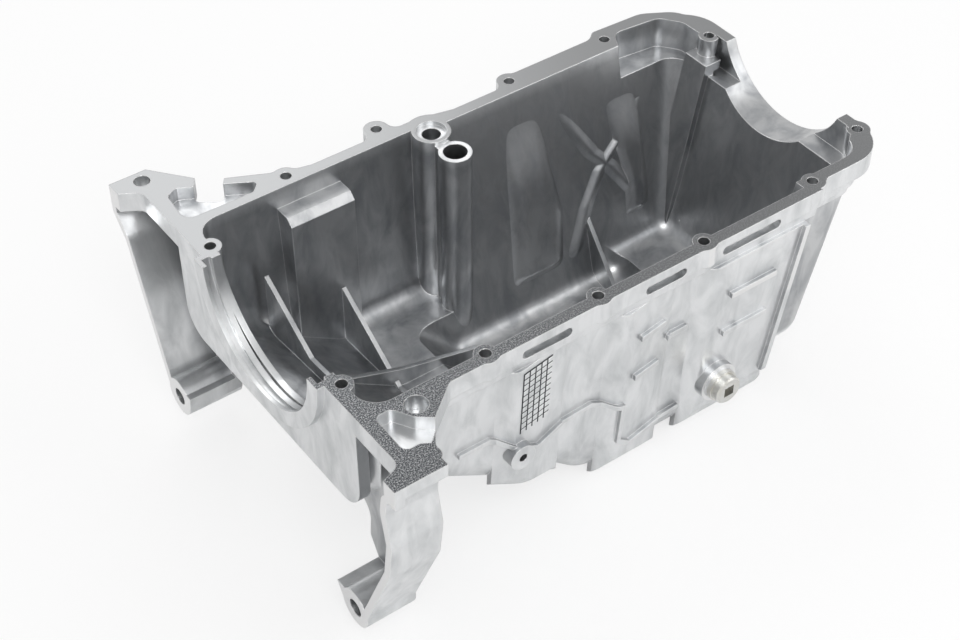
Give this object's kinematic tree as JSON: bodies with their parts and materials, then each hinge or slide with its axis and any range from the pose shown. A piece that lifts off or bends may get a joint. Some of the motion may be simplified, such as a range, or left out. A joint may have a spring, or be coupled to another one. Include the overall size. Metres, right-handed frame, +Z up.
{
  "type": "engine oil pan",
  "caption": "Die-cast aluminium structural oil pan with a block joint flange, gearbox ears, rear seal seat, inner oil column, sloping floor to a deep sump, and a drain plug with washer",
  "frame": {"origin": "on the crankshaft's axis, where the plane of the gearbox face crosses the joint plane with the engine block", "axes": "+X along the crankshaft towards the timing end, +Y away from the drain plug's side, +Z up into the block"},
  "size_m": [0.4427, 0.33, 0.1749],
  "materials": {
    "cast_aluminium": "bare die casting with machined joint faces",
    "zinc_steel": "bright zinc plate",
    "washer_aluminium": "plain soft aluminium"
  },
  "bodies": {
    "pan": {"pan_casting": "cast_aluminium"},
    "washer": {"sealing_washer": "washer_aluminium"},
    "plug": {"drain_plug": "zinc_steel"}
  },
  "joints": [
    {"name": "washer_travel", "type": "slide", "parent": "pan", "child": "washer", "axis": [0, -1, 0], "range_m": [0, 0.0135]},
    {"name": "plug_turn", "type": "hinge", "parent": "washer", "child": "plug", "pos_m": [0.294, -0.113, -0.13], "axis": [0, -1, 0], "range_deg": [0, 3240]}
  ],
  "couplings": [
    {"joint": "washer_travel", "follows": "plug_turn", "m_per_rad": 0.0002387}
  ]
}
